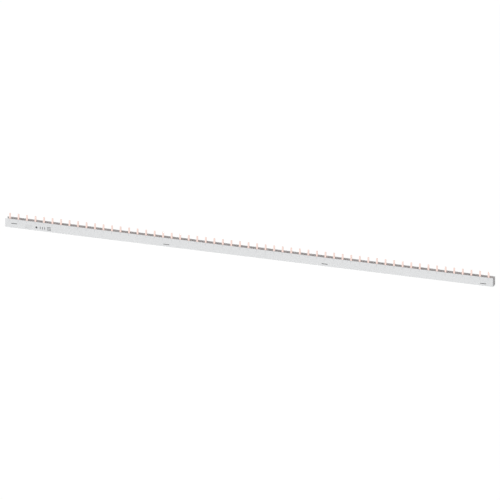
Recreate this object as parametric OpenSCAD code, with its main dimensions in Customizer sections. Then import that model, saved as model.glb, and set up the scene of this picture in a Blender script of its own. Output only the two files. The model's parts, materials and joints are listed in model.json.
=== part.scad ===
// Three-phase comb busbar: three copper combs side by side in a chambered plastic trough.
// The teeth of the middle and rear combs are bent forward over the partitions, so that
// all pins stand in one row right behind the front wall, in the order front, middle, rear.
// The long axis is X, the front face looks along -Y, and the floor's underside is at z = 0.

/* [Row of pins] */
// Number of pins in the row
pin_count = 57; // [3:1:60]
// Distance from one pin to the next, one module
module_pitch = 17.8; // [14:0.1:27]
// Width of a pin along the row
pin_w = 3.1; // [2:0.1:3.6]
// How far the pins stand above the housing walls
pin_rise = 11.5; // [8:0.1:16]
// Width of a pin's wider root
root_w = 3.7; // [3.7:0.1:6]
// How far the wider root stands above the housing walls
root_rise = 4.8; // [1:0.1:7]
// Chamfer on the corners of a pin's tip
tip_chamfer = 0.5; // [0.1:0.1:0.9]

/* [Copper strips] */
// Thickness of the copper strip
strip_t = 2; // [1:0.1:2.3]
// Height of the strip below the teeth
strip_h = 8; // [5:0.1:9]
// Inner radius of the bends in the crossing teeth
bend_r = 1; // [0.5:0.1:1.3]
// Fillet where a tooth grows out of its strip
tooth_fillet = 1; // [0.3:0.1:1.3]
// Height of the crossing teeth above the strips that they cross
crossing_gap = 2.6; // [2.6:0.1:4]
// Distance from the housing's cut end to the end of a strip
strip_setback = 3; // [1:0.1:5]

/* [Housing] */
// Distance from the outermost pin's centre to the housing's cut end
end_margin = 9.6; // [8:0.1:20]
// Depth of the housing from front to back
body_d = 12.9; // [12.5:0.1:20]
// Height of the housing
body_h = 17.7; // [17:0.1:25]
// Thickness of the front and back walls
wall_t = 0.7; // [0.5:0.1:1]
// Thickness of the floor
floor_t = 1; // [0.6:0.1:1.6]
// Thickness of the partitions between the strips
partition_t = 0.8; // [0.5:0.1:1.2]
// Thickness of the ribs that guide the strips
rib_t = 0.7; // [0.4:0.1:1.2]
// Distance from a strip's edge to the middle of the rib beside it
rib_inset = 1.4; // [0.8:0.1:2]
// Radius of the housing's lower edges
corner_r = 0.4; // [0.1:0.1:0.9]

/* [Fits] */
// Clearance between a strip and what guides it
strip_gap = 0.1; // [0.05:0.05:0.2]
// Clearance between the partitions and the teeth that cross them
partition_gap = 0.3; // [0.1:0.1:0.8]

/* [Press marks] */
// Width of the pressed mark under each pin
mark_w = 1.7; // [0.8:0.1:3]
// Length of the mark below the top of the front wall
mark_l = 6; // [2:0.1:8]
// Depth of the mark in the front wall
mark_depth = 0.25; // [0.1:0.05:0.4]
// Slant of the mark, its foot towards the left end
mark_slant = 6; // [0:1:15]

/* [Hidden] */
$fn = 32;
phases = 3;
row_l = (pin_count - 1) * module_pitch;
body_l = row_l + 2 * end_margin;
total_h = body_h + pin_rise;
strip_l = body_l - 2 * strip_setback;
strip_top = floor_t + strip_h;

// Middle planes of the three strips; the pins share the front strip's plane
pin_y = -body_d / 2 + wall_t + strip_gap + strip_t / 2;
strip_y = [pin_y, 0, -pin_y];

// A crossing tooth runs level at crossing_z, with bends of radius bend_mid_r on its mid-plane
crossing_z = strip_top + crossing_gap + strip_t / 2;
bend_mid_r = bend_r + strip_t / 2;

// Partitions stand half-way between the strips and end below the crossing teeth
partition_y = pin_y / 2;
partition_top = strip_top + crossing_gap - partition_gap;
rib_reach = -partition_y - partition_t / 2 - strip_t / 2 - strip_gap;
rib_heights = [floor_t + rib_inset, strip_top - rib_inset];

// How far shapes that are joined run into each other, and cutters past a face
lap = 0.5;

plastic = [0.87, 0.88, 0.88];
copper = [0.93, 0.76, 0.70];

function pin_x(i) = -row_l / 2 + i * module_pitch;

// Stands a flat outline drawn in x and z upright, with its thickness centred on y = 0
module upright(thickness) {
    rotate([90, 0, 0])
        linear_extrude(thickness, center = true)
            children();
}

// Runs a section drawn in y and z along X, centred on x = 0
module lengthwise(length) {
    rotate([90, 0, 90])
        linear_extrude(length, center = true)
            children();
}

// The sliver left in a square corner by a circle of radius r, pointing to the origin
module corner_fill(r) {
    difference() {
        square(r);
        translate([r, r])
            circle(r);
    }
}

// Outline of one tooth, from inside the strip up to the chamfered tip
module tooth_outline() {
    root_top = body_h + root_rise;
    shoulder = (root_w - pin_w) / 2;
    tip_w = pin_w - 2 * tip_chamfer;
    half = [
        [root_w / 2, strip_top - lap],
        [root_w / 2, root_top - shoulder],
        [pin_w / 2, root_top],
        [pin_w / 2, total_h - tip_chamfer],
        [tip_w / 2, total_h]
    ];
    mirrored = [for (i = [len(half) - 1 : -1 : 0]) [-half[i][0], half[i][1]]];
    polygon(concat(half, mirrored));
    for (side = [0, 1])
        mirror([side, 0])
            translate([root_w / 2, strip_top])
                corner_fill(tooth_fillet);
}

// Quarter ring of the strip's thickness, in the corner right of and above its centre
module bend_section() {
    intersection() {
        difference() {
            circle(bend_r + strip_t);
            circle(bend_r);
        }
        square(bend_r + strip_t);
    }
}

// Side view of a crossing tooth: up from its strip at y = from_y, level over the
// partitions, and up again in the plane of the pins
module crossing_section(from_y) {
    translate([from_y - strip_t / 2, strip_top - lap])
        square([strip_t, crossing_z - bend_mid_r - strip_top + lap]);
    translate([from_y - bend_mid_r, crossing_z - bend_mid_r])
        bend_section();
    translate([pin_y + bend_mid_r, crossing_z - strip_t / 2])
        square([from_y - pin_y - 2 * bend_mid_r, strip_t]);
    translate([pin_y + bend_mid_r, crossing_z + bend_mid_r])
        rotate(180)
            bend_section();
    translate([pin_y - strip_t / 2, crossing_z + bend_mid_r])
        square([strip_t, total_h - crossing_z - bend_mid_r]);
}

module straight_tooth() {
    translate([0, pin_y, 0])
        upright(strip_t)
            tooth_outline();
}

module crossing_tooth(from_y) {
    intersection() {
        upright(body_d)
            tooth_outline();
        lengthwise(root_w + 2 * tooth_fillet)
            crossing_section(from_y);
    }
}

// One stamped comb: the strip of a phase and every third tooth of the row
module comb(phase) {
    translate([-strip_l / 2, strip_y[phase] - strip_t / 2, floor_t])
        cube([strip_l, strip_t, strip_h]);
    for (i = [phase : phases : pin_count - 1])
        translate([pin_x(i), 0, 0])
            if (phase == 0)
                straight_tooth();
            else
                crossing_tooth(strip_y[phase]);
}

// Floor and outer walls
module trough_section() {
    difference() {
        translate([-body_d / 2, 0])
            square([body_d, body_h]);
        translate([-body_d / 2 + wall_t, floor_t])
            square([body_d - 2 * wall_t, body_h]);
        for (side = [0, 1])
            mirror([side, 0])
                translate([-body_d / 2, 0])
                    corner_fill(corner_r);
    }
}

// One partition with a rounded top and guide ribs towards the strips on both sides
module partition_section() {
    cap_r = partition_t / 2;
    translate([-cap_r, floor_t - lap])
        square([partition_t, partition_top - cap_r - floor_t + lap]);
    translate([0, partition_top - cap_r])
        circle(cap_r);
    for (side = [0, 1], z = rib_heights)
        mirror([side, 0])
            translate([0, z])
                rib_section();
}

module rib_section() {
    reach = partition_t / 2 + rib_reach;
    nose_r = rib_t / 2;
    translate([0, -nose_r])
        square([reach - nose_r, rib_t]);
    translate([reach - nose_r, 0])
        circle(nose_r);
}

module housing_section() {
    trough_section();
    for (side = [-1, 1])
        translate([side * partition_y, 0])
            partition_section();
}

// Shallow slanted groove with a round foot, open at the top of the front wall
module press_mark() {
    translate([0, -body_d / 2, body_h])
        rotate([0, mark_slant, 0])
            upright(2 * mark_depth) {
                translate([-mark_w / 2, mark_w / 2 - mark_l])
                    square([mark_w, mark_l]);
                translate([0, mark_w / 2 - mark_l])
                    circle(mark_w / 2);
            }
}

module housing() {
    color(plastic)
        difference() {
            lengthwise(body_l)
                housing_section();
            for (i = [0 : pin_count - 1])
                translate([pin_x(i), 0, 0])
                    press_mark();
        }
}

module front_comb() {
    color(copper)
        comb(0);
}

module middle_comb() {
    color(copper)
        comb(1);
}

module rear_comb() {
    color(copper)
        comb(2);
}

housing();
front_comb();
middle_comb();
rear_comb();
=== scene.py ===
import json
import bpy
import numpy as np
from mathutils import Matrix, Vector


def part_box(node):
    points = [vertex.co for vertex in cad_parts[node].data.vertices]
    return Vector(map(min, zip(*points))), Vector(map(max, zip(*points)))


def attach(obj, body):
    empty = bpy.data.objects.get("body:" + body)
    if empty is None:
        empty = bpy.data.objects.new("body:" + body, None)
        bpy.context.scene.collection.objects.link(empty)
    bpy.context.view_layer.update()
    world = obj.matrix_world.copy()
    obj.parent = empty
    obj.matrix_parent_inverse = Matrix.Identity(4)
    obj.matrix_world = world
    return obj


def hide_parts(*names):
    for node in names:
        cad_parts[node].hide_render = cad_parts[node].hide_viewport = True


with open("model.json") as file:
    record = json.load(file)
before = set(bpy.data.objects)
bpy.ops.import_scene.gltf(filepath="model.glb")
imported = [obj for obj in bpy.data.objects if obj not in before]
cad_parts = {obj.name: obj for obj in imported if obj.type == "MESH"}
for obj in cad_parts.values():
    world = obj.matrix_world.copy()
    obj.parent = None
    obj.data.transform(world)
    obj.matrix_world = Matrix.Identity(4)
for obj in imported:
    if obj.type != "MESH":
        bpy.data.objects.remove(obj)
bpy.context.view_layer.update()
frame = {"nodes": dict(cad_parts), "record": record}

# A comb busbar lying on a pale floor: a plastic trough with three copper combs in it.
# Lengths are in millimetres up to the moment a mesh is made. X runs along the bar,
# -Y is its front, and the floor is just under z = 0.
mm = 0.001

solidBox = {name: np.array(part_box(name)) / mm for name in frame["nodes"]}
pinMount = next(m for m in frame["record"]["mounts"] if m["name"] == "pin_row")
pinCount = int(pinMount["dims"]["count"])
pinX = (np.arange(pinCount) - (pinCount - 1) / 2) * pinMount["dims"]["spacing_x_mm"]
print("solids loaded,", pinCount, "pins")


def roundedLoop(corners):
    # A closed outline from corners (a, b, radius, steps). Each corner gives way to the
    # circle arc that touches both its sides, written as the rational curve
    # ((1-t)^2 start + 2 w t (1-t) corner + t^2 end) / ((1-t)^2 + 2 w t (1-t) + t^2),
    # where w is the sine of half the angle between the sides. Where two arcs meet, one
    # of the two points at the same place is left out.
    spec = np.array(corners, float)
    corner, radius, steps = spec[:, :2], spec[:, 2], spec[:, 3].astype(int)
    toLast = np.roll(corner, 1, 0) - corner
    toNext = np.roll(corner, -1, 0) - corner
    toLast /= np.linalg.norm(toLast, axis=1)[:, None]
    toNext /= np.linalg.norm(toNext, axis=1)[:, None]
    half = np.arccos(np.clip((toLast * toNext).sum(1), -1, 1)) / 2
    reach = (radius / np.tan(half))[:, None]
    which = np.repeat(np.arange(len(spec)), steps + 1)
    first = np.cumsum(steps + 1) - steps - 1
    t = ((np.arange(len(which)) - first[which]) / np.maximum(steps, 1)[which])[:, None]
    w = np.sin(half)[which][:, None]
    start, end = (corner + toLast * reach)[which], (corner + toNext * reach)[which]
    parts = (1 - t) ** 2, 2 * w * t * (1 - t), t ** 2
    loop = (parts[0] * start + parts[1] * corner[which] + parts[2] * end) / sum(parts)
    return loop[np.linalg.norm(loop - np.roll(loop, 1, 0), axis=1) > 1e-6]


def roundedRings(halfWide, halfThick, radius, steps=3):
    # Closed rings round one tooth or strip: four quarter circles of the corner radius,
    # pushed apart to the half width and half thickness that each ring has.
    quarter = np.repeat(np.arange(4), steps + 1)
    angle = (quarter + np.tile(np.linspace(0, 1, steps + 1), 4)) * np.pi / 2
    sideA = np.where((quarter == 0) | (quarter == 3), 1, -1)
    sideB = np.where(quarter < 2, 1, -1)
    a = sideA * (halfWide - radius)[:, None] + radius[:, None] * np.cos(angle)
    b = sideB * (halfThick - radius)[:, None] + radius[:, None] * np.sin(angle)
    return a, b


def tubeFaces(rings, around, copies=1):
    # Quads from point k to k + 1 of ring s to ring s + 1, and one face on each end, for
    # each copy of a tube whose points follow one another in the mesh.
    grid = np.arange(rings * around).reshape(rings, around)
    nextK, up = np.roll(grid, -1, 1)[:-1], grid[1:]
    quads = np.stack([grid[:-1], nextK, np.roll(up, -1, 1), up], -1).reshape(-1, 4)
    shift = (np.arange(copies) * rings * around)[:, None, None]
    sides = (quads[None] + shift).reshape(-1, 4)
    starts = (grid[0][::-1][None] + shift[:, 0]).reshape(copies, around)
    ends = (grid[-1][None] + shift[:, 0]).reshape(copies, around)
    return sides.tolist(), starts.tolist() + ends.tolist()


def makePiece(name, points, faces, finishes, finishOfFace=None, sharpAngle=35.0):
    mesh = bpy.data.meshes.new(name)
    mesh.from_pydata(points * mm, [], faces)
    for finish in finishes:
        mesh.materials.append(finish)
    if finishOfFace is not None:
        mesh.polygons.foreach_set("material_index", finishOfFace)
    mesh.polygons.foreach_set("use_smooth", np.ones(len(mesh.polygons), bool))
    mesh.set_sharp_from_angle(angle=np.radians(sharpAngle))
    mesh.validate()
    piece = bpy.data.objects.new(name, mesh)
    bpy.context.scene.collection.objects.link(piece)
    flats = piece.modifiers.new("flatFaces", "WEIGHTED_NORMAL")  # keeps the flats flat
    flats.keep_sharp = True
    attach(piece, "root")
    return piece


class Nodes:
    # Short hand for the node tree of a material or of the world.
    def __init__(self, owner, outputKind="ShaderNodeOutputMaterial"):
        self.owner = owner
        owner.use_nodes = True
        self.tree = owner.node_tree
        self.tree.nodes.clear()
        self.output = self.add(outputKind)

    def add(self, kind, **settings):
        node = self.tree.nodes.new(kind)
        for key, value in settings.items():
            setattr(node, key, value)
        return node

    def join(self, fromSocket, toSocket):
        self.tree.links.new(fromSocket, toSocket)

    def noise(self, scale, stretch=(1, 1, 1), detail=3.0, roughness=0.55):
        place = self.add("ShaderNodeTexCoord").outputs["Object"]
        mapping = self.add("ShaderNodeMapping")
        mapping.inputs["Scale"].default_value = stretch
        self.join(place, mapping.inputs["Vector"])
        noise = self.add("ShaderNodeTexNoise")
        noise.inputs["Scale"].default_value = scale
        noise.inputs["Detail"].default_value = detail
        noise.inputs["Roughness"].default_value = roughness
        self.join(mapping.outputs["Vector"], noise.inputs["Vector"])
        return noise.outputs["Fac"]

    def spread(self, value, low, high, fromLow=0.3, fromHigh=0.7):
        change = self.add("ShaderNodeMapRange")
        for socket, number in zip(("From Min", "From Max", "To Min", "To Max"),
                                  (fromLow, fromHigh, low, high)):
            change.inputs[socket].default_value = number
        self.join(value, change.inputs["Value"])
        return change.outputs["Result"]

    def blend(self, factor, *colours):
        mix = self.add("ShaderNodeMix", data_type="RGBA")
        self.join(factor, mix.inputs[0])
        for socket, colour in zip((mix.inputs[6], mix.inputs[7]), colours):
            if isinstance(colour, tuple):
                socket.default_value = (*colour, 1)
            else:
                self.join(colour, socket)
        return mix.outputs[2]

    def bump(self, height, distance):
        bump = self.add("ShaderNodeBump")
        bump.inputs["Distance"].default_value = distance
        self.join(height, bump.inputs["Height"])
        return bump.outputs["Normal"]


plasticLook = {
    "tone": (0.745, 0.753, 0.760),       # light grey, a touch cool
    "toneLow": (0.732, 0.740, 0.748),
    "pressedTone": (0.667, 0.674, 0.684),   # painted shade: the plastic is drawn darker inside the pressed marks' grooves
    "roughness": (0.42, 0.48),
    "ior": 1.5,
    # each pattern: the noise's scale, and its stretch along X, Y and Z
    "dieLines": (900, (0.012, 1, 1)),    # long along the bar, fine across it
    "dieLineDepth": 0.000006,            # metres
    "clouds": (28, (0.35, 1, 1)),
}


def extrudedPlastic():
    look = plasticLook
    n = Nodes(bpy.data.materials.new("extrudedPlastic"))
    lines = n.noise(*look["dieLines"], detail=2)
    cloud = n.noise(*look["clouds"], detail=2)
    shader = n.add("ShaderNodeBsdfPrincipled")
    pressed = n.add("ShaderNodeAttribute", attribute_name="pressed").outputs["Fac"]
    plain = n.blend(n.spread(cloud, 0, 1), look["toneLow"], look["tone"])
    # painted shade: inside the pressed marks the plastic takes the darker groove tone
    n.join(n.blend(pressed, plain, look["pressedTone"]), shader.inputs["Base Color"])
    n.join(n.spread(lines, *look["roughness"]), shader.inputs["Roughness"])
    shader.inputs["IOR"].default_value = look["ior"]
    n.join(n.bump(lines, look["dieLineDepth"]), shader.inputs["Normal"])
    n.join(shader.outputs["BSDF"], n.output.inputs["Surface"])
    return n.owner


copperLook = {
    "rolledCopper": {
        "tone": (0.886, 0.692, 0.632),   # what bright copper mirrors of white light
        "toneDark": (0.850, 0.630, 0.560),
        "roughness": (0.14, 0.24),
        "lines": (1500, (0.02, 1, 1)),   # along the strip, as it was rolled
        "lineDepth": 0.000008,           # metres
        "stains": (90, (0.5, 1, 1)),
        "stainRange": (0.55, 0.85),      # the noise levels between clean and stained
    },
    "shearedCopper": {
        "tone": (0.870, 0.660, 0.595),
        "toneDark": (0.740, 0.540, 0.470),
        "roughness": (0.34, 0.52),
        "lines": (1100, (1, 0.05, 1)),   # the punch drags across the thickness
        "lineDepth": 0.00002,
        "stains": (500, (1, 0.4, 1)),    # torn spots
        "stainRange": (0.4, 0.75),
    },
}


def copper(name):
    look = copperLook[name]
    n = Nodes(bpy.data.materials.new(name))
    lines = n.noise(*look["lines"], detail=2)
    stain = n.noise(*look["stains"], detail=3)
    shader = n.add("ShaderNodeBsdfPrincipled")
    shader.inputs["Metallic"].default_value = 1.0
    n.join(n.blend(n.spread(stain, 0, 1, *look["stainRange"]), look["tone"], look["toneDark"]),
           shader.inputs["Base Color"])
    n.join(n.spread(lines, *look["roughness"]), shader.inputs["Roughness"])
    n.join(n.bump(lines, look["lineDepth"]), shader.inputs["Normal"])
    n.join(shader.outputs["BSDF"], n.output.inputs["Surface"])
    return n.owner


inkLook = {
    "patches": 1800,                     # scale of the noise
    "patchLift": 0.06,                   # how much paler the ink is where it lies thin
    "roughness": 0.6,
}


def printInk(name, tone):
    n = Nodes(bpy.data.materials.new(name))
    shader = n.add("ShaderNodeBsdfPrincipled")
    patchy = n.noise(inkLook["patches"], detail=2)
    lighter = tuple(min(1, t + inkLook["patchLift"]) for t in tone)
    n.join(n.blend(n.spread(patchy, 0, 1), tone, lighter), shader.inputs["Base Color"])
    shader.inputs["Roughness"].default_value = inkLook["roughness"]
    n.join(shader.outputs["BSDF"], n.output.inputs["Surface"])
    return n.owner


plasticFinish = extrudedPlastic()
rolledFinish, shearedFinish = copper("rolledCopper"), copper("shearedCopper")
print("finishes made")


trough = {
    "wall": 0.7,                 # front and back walls
    "floor": 1.0,
    "partition": 0.8,            # the two walls between the strips
    "partitionY": 2.325,
    "partitionTop": 11.3,
    "rib": 0.7,                  # guide ribs beside the strips
    "ribReach": 0.825,
    "ribHeights": (2.4, 7.6),
    "footRadius": 0.4,           # outer lower edges
    "lipRadius": 0.16,           # upper edges of the walls
    "insideRadius": 0.2,
    "printDepth": 0.02,          # the front is this much lower than the print on it
    "markWidth": 1.7,            # pressed mark under each pin
    "markLength": 6.0,
    "markDepth": 0.25,
    "markSlant": 6.0,            # degrees, foot towards the left end
    "markEdge": 0.16,            # how far the mark's rim is rounded, to each side
    # how finely the marks are drawn
    "frontRows": (0.5, 1.6, 3.0, 4.3, 4.9, 5.15, 5.4, 5.65, 5.85, 6.05, 6.3, 8.5),
    "leanDepth": 6.3,            # rows down to here lean with the marks
    "frontAbove": 6.0,           # height above which points belong to the marked front
    "frontSlack": 0.05,
    "markOverrun": 3.0,          # the mark's middle line runs on this far above the wall
    "rimSteps": (1.6, 1, 0.35, -0.35, -1),   # stations beside a mark, in rim widths
}


def troughOutline(look, halfDepth, height):
    # The section in y and z, anticlockwise: under the floor, up the back wall, down into
    # the three chambers and over the two ribbed partitions, and down the front wall,
    # where extra rows follow the pressed marks.
    inner, floor = halfDepth - look["wall"], look["floor"]
    halfPart, lip, inside = look["partition"] / 2, look["lipRadius"], look["insideRadius"]
    nose = look["rib"] / 2

    def ribs(rootY, side, heights):
        up = 1 if heights[0] < heights[-1] else -1
        tip = rootY + side * look["ribReach"]
        rows = []
        for z in heights:
            rows += [(rootY, z - up * nose, 0, 0), (tip, z - up * nose, nose, 2),
                     (tip, z + up * nose, nose, 2), (rootY, z + up * nose, 0, 0)]
        return rows

    def partition(middle):
        right, left = middle + halfPart, middle - halfPart
        rising = look["ribHeights"]
        return ([(right, floor, inside, 1)] + ribs(right, 1, rising)
                + [(right, look["partitionTop"], halfPart, 3),
                   (left, look["partitionTop"], halfPart, 3)]
                + ribs(left, -1, rising[::-1]) + [(left, floor, inside, 1)])

    front = -halfDepth + look["printDepth"]
    return roundedLoop(
        [(front, 0, look["footRadius"], 4), (halfDepth, 0, look["footRadius"], 4),
         (halfDepth, height, lip, 2), (inner, height, lip, 2), (inner, floor, inside, 2)]
        + partition(look["partitionY"]) + partition(-look["partitionY"])
        + [(-inner, floor, inside, 2), (-inner, height, lip, 2), (front, height, lip, 2)]
        + [(front, height - row, 0, 0) for row in look["frontRows"]])


def makeHousing():
    # The outline carried along X through stations that crowd at each pin. Points of the
    # front face lean with the marks' slant and sink by the mark's depth times a smooth
    # step of their distance to the slot's middle line.
    look = trough
    low, high = solidBox["housing"]
    outline = troughOutline(look, high[1], high[2])
    half, rim = look["markWidth"] / 2, look["markEdge"]
    aside = half + rim * np.array(look["rimSteps"])
    across = np.concatenate([-aside, [0], aside[::-1]])
    near = (pinX[:, None] + across[None]).ravel()
    between = (pinX[:-1] + pinX[1:]) / 2
    stations = np.sort(np.concatenate([near, between, [low[0], high[0]]]))
    atPin = np.isin(stations, near)

    y, z = outline[:, 0][None], outline[:, 1][None]
    isFront = ((y < low[1] + look["lipRadius"] + look["frontSlack"])
               & (z > look["frontAbove"]))
    slant = np.radians(look["markSlant"])
    drop = high[2] - z
    lean = np.tan(slant) * np.minimum(drop, look["leanDepth"])
    x = stations[:, None] - np.where(isFront & atPin[:, None], lean, 0)

    pin = pinX[np.abs(x[..., None] - pinX).argmin(-1)]
    length = look["markLength"] - half
    along = np.clip(drop * np.cos(slant) - (x - pin) * np.sin(slant),
                    -look["markOverrun"], length)
    lineX = pin - along * np.sin(slant)
    lineZ = high[2] - along * np.cos(slant)
    away = np.hypot(x - lineX, z - lineZ)
    step = np.clip((half + rim - away) / (2 * rim), 0, 1)
    sink = (look["markDepth"] - look["printDepth"]) * step * step * (3 - 2 * step)
    y = np.where(isFront, y + sink, y + 0 * x)
    points = np.stack([x, y, z + 0 * x], -1).reshape(-1, 3)
    quads, caps = tubeFaces(len(stations), len(outline))
    piece = makePiece("housingShell", points, quads + caps, [plasticFinish])
    # the groove's smooth step, kept as the mask for the painted shade in the pressed marks
    pressed = piece.data.attributes.new("pressed", "FLOAT", "POINT")
    pressed.data.foreach_set("value", np.where(isFront, step, 0).ravel())
    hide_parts("housing")
    return piece


makeHousing()
print("housing made")


frontPrint = {
    "thickness": 0.02,
    "startsIn": 1.5,             # thicknesses inside the face where a plate starts
    "cornerSlack": 1.025,        # keeps the corners' radius just under half the height
    "darkInk": (0.060, 0.060, 0.064),
    "paleInk": (0.60, 0.605, 0.61),
    # plain rows of one shape each: middles from the left end, middles below the top edge,
    # and the shape's width and height
    "paleLines": ([(49.0, 8.4), (49.0, 11.0), (49.0, 13.6)], (14.0, 1.1)),
    "longBars": ([(18.8, 8.8), (337.0, 13.2), (667.0, 13.2), (996.0, 13.2)], (13.0, 1.4)),
    "roundDot": ([(65.4, 11.2)], (4.4, 4.4)),
    "uprightBars": ([(73.5, 11.2), (78.2, 11.2), (82.9, 11.2)], (1.3, 5.2)),
    "blockLines": ([(91.7, 8.6), (91.7, 11.2), (91.7, 13.8)], (8.4, 1.2)),
}


def makePrint(name, finish):
    # Each mark is a rounded plate: its outline, carried from just inside the front wall
    # out to the face.
    low, high = solidBox["housing"]
    middles, (width, height) = frontPrint[name]
    across, down = np.array(middles).T
    half = np.full(len(across), 0.5)
    corner = half * min(width, height) / frontPrint["cornerSlack"]
    a, b = roundedRings(half * width, half * height, corner)
    x = low[0] + across[:, None] + a
    z = high[2] - down[:, None] + b
    depth = np.array([low[1] + frontPrint["startsIn"] * frontPrint["thickness"], low[1]])
    points = np.stack([np.repeat(x[:, None], 2, 1),
                       np.broadcast_to(depth[None, :, None], (len(x), 2, x.shape[1])),
                       np.repeat(z[:, None], 2, 1)], -1).reshape(-1, 3)
    quads, caps = tubeFaces(2, x.shape[1], len(x))
    return makePiece(name, points, quads + caps, [finish])


makePrint("paleLines", printInk("paleInk", frontPrint["paleInk"]))
darkInk = printInk("darkInk", frontPrint["darkInk"])
for name in ("longBars", "roundDot", "uprightBars", "blockLines"):
    makePrint(name, darkInk)
print("print made")


combs = {
    "stripHeight": 8.0,
    "edgeRadius": 0.16,          # on the corners of strips and teeth
    "rootWidth": 3.7,
    "pinWidth": 3.1,
    "shoulderHeight": 22.5,      # where the wider root ends
    "tipChamfer": 0.5,
    "tipCoining": 0.12,          # how much thinner the very tip is, on each face
    "toothFillet": 1.0,
    "crossingZ": 12.6,           # height of the level legs over the partitions
    "bendRadius": 2.0,           # of a bend's middle line
    "bendSteps": 7,              # points in a bend
    "bendClear": 0.1,            # straight stretch kept before and after a bend
    "filletSteps": (0, 0.06, 0.2, 0.45, 1.0),   # heights in the fillet, as shares of it
}


def toothLine(fromY, toY, levels, look):
    # The middle line of a tooth in y and z with its lean from upright: straight up, or up,
    # a quarter circle over to the front, level, and a quarter circle up again.
    if abs(fromY - toY) < 0.01:
        return np.full(len(levels), toY), levels, np.zeros(len(levels))
    r, level = look["bendRadius"], look["crossingZ"]
    turn = np.linspace(0, np.pi / 2, look["bendSteps"])
    lower = levels[levels < level - r - look["bendClear"]]
    upper = levels[levels > level + r + look["bendClear"]]
    y = np.concatenate([np.full(len(lower), fromY), fromY - r + r * np.cos(turn),
                        toY + r - r * np.sin(turn), np.full(len(upper), toY)])
    z = np.concatenate([lower, level - r + r * np.sin(turn),
                        level + r - r * np.cos(turn), upper])
    lean = np.concatenate([0 * lower, turn, np.pi / 2 - turn, 0 * upper])
    return y, z, lean


def toothWidth(z, stripTop, tip, look):
    # Half the width at height z: flared by a quarter circle over the strip, the root, the
    # shoulder, the pin, and the chamfer up to the tip.
    r = look["toothFillet"]
    flare = r - np.sqrt(np.maximum(r ** 2 - (r - np.clip(z - stripTop, 0, r)) ** 2, 0))
    root, pin = look["rootWidth"] / 2, look["pinWidth"] / 2
    shoulder = look["shoulderHeight"]
    body = np.interp(z, [shoulder - (root - pin), shoulder, tip - look["tipChamfer"], tip],
                     [root, pin, pin, pin - look["tipChamfer"]])
    return body + flare


def makeComb(node, phase):
    # One strip with every third tooth of the row. The strip is a rounded ring carried
    # along X, and a tooth is one carried along its bent middle line.
    look = combs
    low, high = solidBox[node]
    frontLow, frontHigh = solidBox["front_comb"]
    toY = (frontLow[1] + frontHigh[1]) / 2
    halfThick = (frontHigh[1] - frontLow[1]) / 2
    stripY = high[1] - halfThick
    stripTop, tip = low[2] + look["stripHeight"], high[2]
    edge = look["edgeRadius"]

    ends = np.array([low[0], high[0]])
    b, a = roundedRings(np.full(2, halfThick), np.full(2, look["stripHeight"] / 2),
                        np.full(2, edge))
    strip = np.stack([np.repeat(ends[:, None], a.shape[1], 1), stripY + b,
                      (low[2] + stripTop) / 2 + a], -1).reshape(-1, 3)
    around = a.shape[1]
    stripQuads, stripCaps = tubeFaces(2, around)

    fillet = stripTop + look["toothFillet"] * np.array(look["filletSteps"])
    shoulder = look["shoulderHeight"]
    levels = np.concatenate([
        [stripTop - edge], fillet,
        [shoulder - (look["rootWidth"] - look["pinWidth"]) / 2, shoulder,
         tip - look["tipChamfer"], tip - look["tipCoining"], tip]])
    lineY, lineZ, lean = toothLine(stripY, toY, levels, look)
    wide = toothWidth(lineZ, stripTop, tip, look)
    thick = halfThick - np.clip(lineZ - (tip - look["tipCoining"]), 0, None)
    a, b = roundedRings(wide, thick, np.full(len(wide), edge))
    x = pinX[phase::3][:, None, None] + a[None]
    y = np.broadcast_to(lineY[:, None] + b * np.cos(lean)[:, None], x.shape)
    z = np.broadcast_to(lineZ[:, None] + b * np.sin(lean)[:, None], x.shape)
    teeth = np.stack([x, y, z], -1).reshape(-1, 3)
    toothQuads, toothCaps = tubeFaces(len(wide), around, len(x))

    toothFaces = [[k + len(strip) for k in face] for face in toothQuads + toothCaps]
    # the sides that the punch has cut are sheared, the faces that were rolled stay bright
    cutSides = np.isin(np.arange(around), [around // 2 - 1, around - 1])
    finish = np.concatenate([
        np.zeros(len(stripQuads)), np.ones(len(stripCaps)),
        np.tile(cutSides, (len(wide) - 1) * len(x)), np.ones(len(toothCaps))]).astype(int)
    piece = makePiece(node.split("_")[0] + "CombShell", np.concatenate([strip, teeth]),
                      stripQuads + stripCaps + toothFaces, [rolledFinish, shearedFinish], finish)
    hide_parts(node)
    return piece


for phase, node in enumerate(["front_comb", "middle_comb", "rear_comb"]):
    makeComb(node, phase)
    print(node, "made")


studio = {
    "floorRadius": 9.0,                      # metres
    "floorDrop": 0.0002,                     # just under the part, so that nothing flickers
    "floorRings": 8,
    "floorSpokes": 64,
    "floorTone": (0.88, 0.88, 0.88),         # what the floor sends back onto the part
    "shadowTone": (0.30, 0.30, 0.30),        # the share of it that a shadow darkens
    "floorGlow": 0.82,                       # the rest, for the eye and for mirrors
    "skyGlow": 0.65,
    "sunStrength": 1.10,
    "sunSoftness": 2.0,                      # degrees across
    "sunAzimuth": -6.0,                      # from the front, towards the left
    "sunElevation": 1.0,
    "azimuth": 20.2,                         # the camera, degrees
    "elevation": 19.6,
    "distance": 46.162,                      # metres
    "target": (0.00138, 0.0, 0.01197),
    "lens": 1700.0,
    "sensor": 36.0,                          # millimetres
    "clip": (1.0, 100.0),                    # metres
}


def awayFrom(azimuth, elevation):
    a, e = np.radians(azimuth), np.radians(elevation)
    return Vector((np.sin(a) * np.cos(e), -np.cos(a) * np.cos(e), np.sin(e)))


def seenRays(n):
    # 1 for rays from the eye, from a mirror or through glass, and 0 for the light itself
    path = n.add("ShaderNodeLightPath")
    most = path.outputs["Is Camera Ray"]
    for name in ("Is Glossy Ray", "Is Transmission Ray"):
        larger = n.add("ShaderNodeMath", operation="MAXIMUM")
        n.join(most, larger.inputs[0])
        n.join(path.outputs[name], larger.inputs[1])
        most = larger.outputs[0]
    return most


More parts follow.
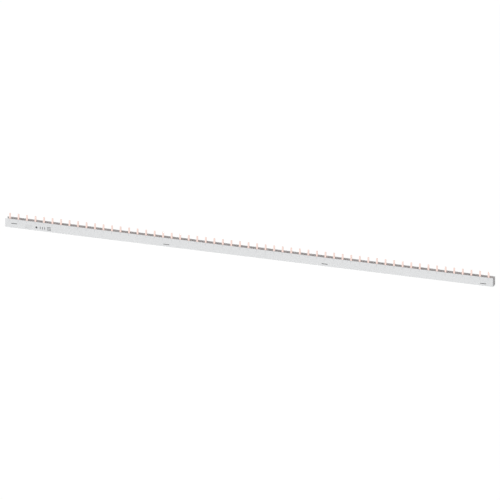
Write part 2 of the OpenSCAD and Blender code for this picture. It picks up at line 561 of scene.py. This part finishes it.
def makeFloor():
    # A disc: rings of points at the radius times the square of a share from 0 to 1.
    share = np.linspace(0, 1, studio["floorRings"] + 1)[1:] ** 2 * studio["floorRadius"]
    turn = np.linspace(0, 2 * np.pi, studio["floorSpokes"] + 1)[:-1]
    ring = np.stack([np.outer(share, np.cos(turn)), np.outer(share, np.sin(turn)),
                     np.full((len(share), len(turn)), -studio["floorDrop"])], -1)
    grid = np.arange(ring[..., 0].size).reshape(ring.shape[:2])
    quads = np.stack([grid[:-1], grid[1:], np.roll(grid[1:], -1, 1),
                      np.roll(grid[:-1], -1, 1)], -1).reshape(-1, 4)
    mesh = bpy.data.meshes.new("floor")
    mesh.from_pydata(ring.reshape(-1, 3), [], quads.tolist() + [grid[0].tolist()])
    n = Nodes(bpy.data.materials.new("paleFloor"))
    bounce = n.add("ShaderNodeBsdfDiffuse")
    bounce.inputs["Color"].default_value = (*studio["floorTone"], 1)
    shaded = n.add("ShaderNodeBsdfDiffuse")
    shaded.inputs["Color"].default_value = (*studio["shadowTone"], 1)
    glow = n.add("ShaderNodeEmission")
    glow.inputs["Strength"].default_value = studio["floorGlow"]
    seen = n.add("ShaderNodeAddShader")
    n.join(shaded.outputs[0], seen.inputs[0])
    n.join(glow.outputs[0], seen.inputs[1])
    choice = n.add("ShaderNodeMixShader")
    n.join(seenRays(n), choice.inputs[0])
    n.join(bounce.outputs[0], choice.inputs[1])
    n.join(seen.outputs[0], choice.inputs[2])
    n.join(choice.outputs[0], n.output.inputs["Surface"])
    mesh.materials.append(n.owner)
    floor = bpy.data.objects.new("floor", mesh)
    bpy.context.scene.collection.objects.link(floor)


def lightRoom():
    n = Nodes(bpy.data.worlds.new("paleRoom"), "ShaderNodeOutputWorld")
    background = n.add("ShaderNodeBackground")
    background.inputs["Color"].default_value = (1, 1, 1, 1)
    n.join(n.spread(seenRays(n), studio["skyGlow"], 1.0, 0.0, 1.0),
           background.inputs["Strength"])
    n.join(background.outputs["Background"], n.output.inputs["Surface"])
    n.owner.cycles.sampling_method = "NONE"    # an even sky needs no rays aimed at it
    bpy.context.scene.world = n.owner

    lamp = bpy.data.lights.new("softSun", "SUN")
    lamp.energy = studio["sunStrength"]
    lamp.angle = np.radians(studio["sunSoftness"])
    sun = bpy.data.objects.new("softSun", lamp)
    sun.rotation_mode = "QUATERNION"
    towards = awayFrom(studio["sunAzimuth"], studio["sunElevation"])
    sun.rotation_quaternion = (-towards).to_track_quat("-Z", "Y")
    bpy.context.scene.collection.objects.link(sun)


def placeCamera():
    data = bpy.data.cameras.new("camera")
    data.sensor_width, data.lens = studio["sensor"], studio["lens"]
    data.clip_start, data.clip_end = studio["clip"]
    camera = bpy.data.objects.new("camera", data)
    back = awayFrom(studio["azimuth"], studio["elevation"])
    camera.location = Vector(studio["target"]) + back * studio["distance"]
    camera.rotation_mode = "QUATERNION"
    camera.rotation_quaternion = (-back).to_track_quat("-Z", "Y")
    bpy.context.scene.collection.objects.link(camera)
    bpy.context.scene.camera = camera


makeFloor()
lightRoom()
placeCamera()
bpy.context.scene.view_settings.view_transform = "Standard"
print("studio set")
